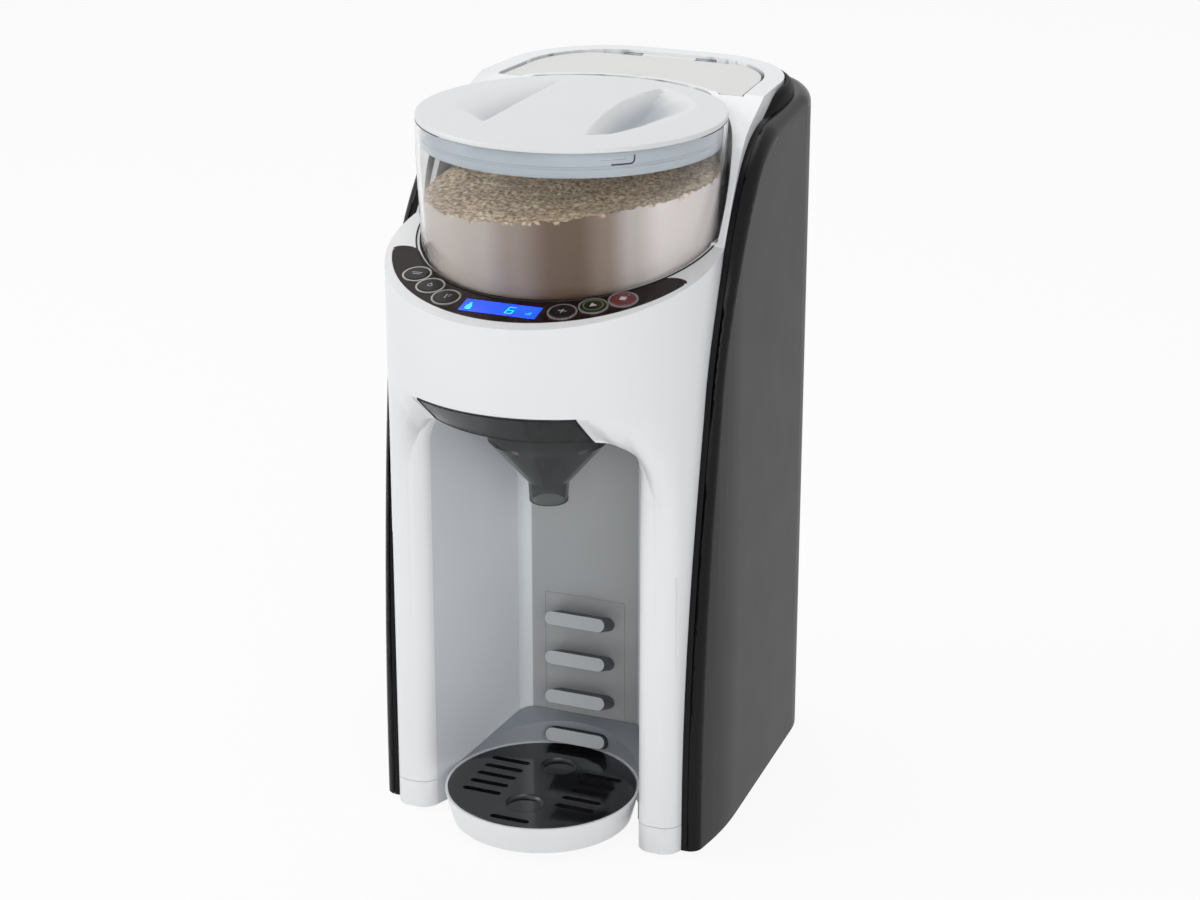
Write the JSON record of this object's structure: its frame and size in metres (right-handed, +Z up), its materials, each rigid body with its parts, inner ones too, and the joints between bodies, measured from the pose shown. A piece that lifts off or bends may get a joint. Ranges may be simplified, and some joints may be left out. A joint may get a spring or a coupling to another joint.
{
  "type": "baby formula maker",
  "caption": "Countertop machine that doses milk powder and warm water into a bottle: round lidded container, sloping button deck, sliding funnel, hanging drip tray and rear water tank.",
  "frame": {"origin": "centre of the bounding box's underside, on the floor", "axes": "+Z up, -Y towards the front with the buttons and the bottle cavity, +X towards the side with the two coloured button rings"},
  "size_m": [0.1788, 0.252, 0.36],
  "materials": {
    "white_shell": "glossy white",
    "dark_cover": "dark grey, slightly satin",
    "black_gloss": "glossy black",
    "liner_grey": "mid grey",
    "tray_grey": "light grey",
    "panel_dark": "glossy brown-black",
    "button_dark": "dark grey",
    "ring_bright": "bright",
    "display_blue": "lit blue",
    "clear_tub": "clear plastic",
    "clear_tank": "clear plastic",
    "smoky": "smoky clear plastic",
    "powder": "cream powder",
    "mixer_white": "white",
    "seal_grey": "blue-grey seal",
    "rubber_dark": "dark rubber",
    "steel": "steel",
    "zinc": "plated steel",
    "motor_can": "steel can",
    "nylon": "natural nylon",
    "board_green": "circuit board",
    "hose_clear": "silicone hose",
    "inner_black": "black"
  },
  "bodies": {
    "machine": {"main_housing": "white_shell", "pillar_left": "white_shell", "pillar_right": "white_shell", "rear_frame": "white_shell", "tank_housing": "white_shell", "side_cover_left": "dark_cover", "side_cover_right": "dark_cover", "deck_bezel": "white_shell", "control_panel": "panel_dark", "display_module": "display_blue", "button_rings": "ring_bright", "control_board": "board_green", "foot_base": "white_shell", "rubber_feet": "rubber_dark", "rear_cover": "dark_cover", "edge_trim": "black_gloss", "cover_screws": "steel", "cavity_liner": "liner_grey", "rung_panel": "liner_grey", "tank_seat": "inner_black", "gear_plate": "zinc", "drive_motor": "motor_can", "powder_chute": "inner_black", "inner_chassis": "inner_black", "power_board": "board_green", "water_heater": "zinc", "water_pump": "motor_can", "cold_hose": "hose_clear", "middle_hose": "hose_clear", "hot_hose": "hose_clear", "water_nozzle": "inner_black", "mains_inlet": "inner_black"},
    "container": {"powder_container": "clear_tub", "powder_fill": "powder"},
    "mixer": {"mixing_paddle": "mixer_white", "dosing_wheel": "mixer_white"},
    "seal": {"lid_seal": "seal_grey"},
    "lid": {"container_lid": "white_shell"},
    "tank": {"water_tank": "clear_tank", "tank_lid_pin": "steel"},
    "tank_flap": {"tank_lid": "white_shell"},
    "valve": {"tank_valve": "mixer_white"},
    "drawer": {"funnel_drawer": "smoky", "funnel": "smoky"},
    "tray": {"drip_tray": "white_shell", "tray_bracket": "tray_grey"},
    "grid": {"tray_grid": "black_gloss"},
    "gear": {"drive_gear": "nylon"},
    "pinion": {"motor_pinion": "nylon"},
    "button_left_outer": {"button_left_outer": "button_dark"},
    "button_left_middle": {"button_left_middle": "button_dark"},
    "button_left_inner": {"button_left_inner": "button_dark"},
    "button_right_inner": {"button_right_inner": "button_dark"},
    "button_right_middle": {"button_right_middle": "button_dark"},
    "button_right_outer": {"button_right_outer": "button_dark"}
  },
  "joints": [
    {"name": "container_lift", "type": "slide", "parent": "machine", "child": "container", "axis": [0, 0, 1], "range_m": [0, 0.1]},
    {"name": "lid_lift", "type": "slide", "parent": "container", "child": "seal", "axis": [0, 0, 1], "range_m": [0, 0.06]},
    {"name": "lid_turn", "type": "hinge", "parent": "seal", "child": "lid", "pos_m": [0, -0.024, 0.355], "axis": [0, 0, 1], "range_deg": [0, 28]},
    {"name": "mixer_spin", "type": "hinge", "parent": "container", "child": "mixer", "pos_m": [0, -0.024, 0.27], "axis": [0, 0, 1], "continuous": true},
    {"name": "gear_spin", "type": "hinge", "parent": "machine", "child": "gear", "pos_m": [0, -0.024, 0.252], "axis": [0, 0, 1], "continuous": true},
    {"name": "pinion_spin", "type": "hinge", "parent": "machine", "child": "pinion", "pos_m": [0, 0.001, 0.252], "axis": [0, 0, 1], "continuous": true},
    {"name": "tank_lift", "type": "slide", "parent": "machine", "child": "tank", "axis": [0, 0, 1], "range_m": [0, 0.175]},
    {"name": "tank_lid_hinge", "type": "hinge", "parent": "tank", "child": "tank_flap", "pos_m": [0, 0.1056, 0.357], "axis": [-1, 0, 0], "range_deg": [0, 95]},
    {"name": "valve_push", "type": "slide", "parent": "tank", "child": "valve", "axis": [0, 0, 1], "range_m": [0, 0.003], "stiffness_N_per_m": 150, "springref_m": -0.002},
    {"name": "drawer_slide", "type": "slide", "parent": "machine", "child": "drawer", "axis": [0, -1, 0], "range_m": [0, 0.11]},
    {"name": "tray_slide", "type": "slide", "parent": "machine", "child": "tray", "axis": [0, -0.9397, 0.342], "range_m": [0, 0.1]},
    {"name": "grid_tip", "type": "hinge", "parent": "tray", "child": "grid", "pos_m": [0, -0.0175, 0.0199], "axis": [-1, 0, 0], "range_deg": [0, 20]},
    {"name": "button_left_outer_press", "type": "slide", "parent": "machine", "child": "button_left_outer", "axis": [0, 0.2147, -0.9767], "range_m": [0, 0.0008], "stiffness_N_per_m": 600, "springref_m": -0.001},
    {"name": "button_left_middle_press", "type": "slide", "parent": "machine", "child": "button_left_middle", "axis": [0, 0.2147, -0.9767], "range_m": [0, 0.0008], "stiffness_N_per_m": 600, "springref_m": -0.001},
    {"name": "button_left_inner_press", "type": "slide", "parent": "machine", "child": "button_left_inner", "axis": [0, 0.2147, -0.9767], "range_m": [0, 0.0008], "stiffness_N_per_m": 600, "springref_m": -0.001},
    {"name": "button_right_inner_press", "type": "slide", "parent": "machine", "child": "button_right_inner", "axis": [0, 0.2147, -0.9767], "range_m": [0, 0.0008], "stiffness_N_per_m": 600, "springref_m": -0.001},
    {"name": "button_right_middle_press", "type": "slide", "parent": "machine", "child": "button_right_middle", "axis": [0, 0.2147, -0.9767], "range_m": [0, 0.0008], "stiffness_N_per_m": 600, "springref_m": -0.001},
    {"name": "button_right_outer_press", "type": "slide", "parent": "machine", "child": "button_right_outer", "axis": [0, 0.2147, -0.9767], "range_m": [0, 0.0008], "stiffness_N_per_m": 600, "springref_m": -0.001}
  ],
  "couplings": [
    {"joint": "gear_spin", "follows": "mixer_spin", "ratio": 1},
    {"joint": "pinion_spin", "follows": "mixer_spin", "ratio": -1.5}
  ]
}
